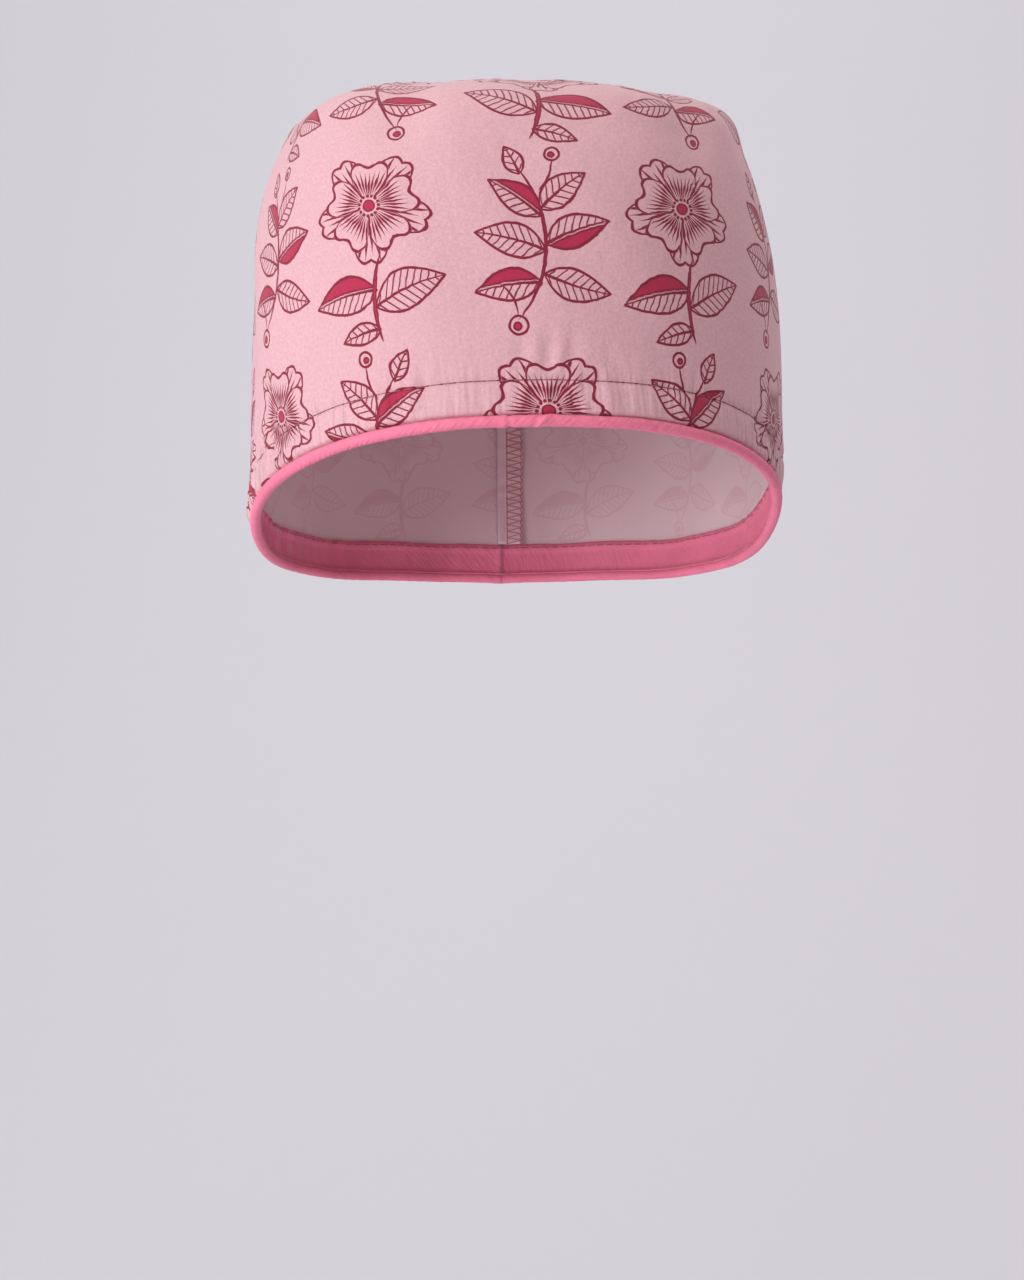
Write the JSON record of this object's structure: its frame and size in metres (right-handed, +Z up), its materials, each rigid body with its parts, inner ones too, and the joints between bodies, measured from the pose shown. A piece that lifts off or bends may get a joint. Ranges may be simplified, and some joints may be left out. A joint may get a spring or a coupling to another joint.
{
  "type": "scrub cap",
  "caption": "Soft cotton scrub cap in its worn shape: a tall printed side band, an oval crown panel, corded piping round the arched lower edge and a stitched hem facing.",
  "frame": {"origin": "middle of the head opening, level with the piping at the middle of the brow", "axes": "+Z up through the crown, -Y forwards through the brow, +X towards the wearer's left ear"},
  "size_m": [0.1609, 0.2015, 0.1521],
  "materials": {
    "printed_cotton": "fine plain-weave cotton, soft pink with a crimson line print",
    "piping_cotton": "plain rose cotton cut on the bias, drawn smooth over a cord",
    "facing_cotton": "plain rose cotton tape, pressed flat"
  },
  "bodies": {
    "root": {"side_band": "printed_cotton", "crown_panel": "printed_cotton", "edge_piping": "piping_cotton", "hem_facing": "facing_cotton"}
  },
  "joints": []
}
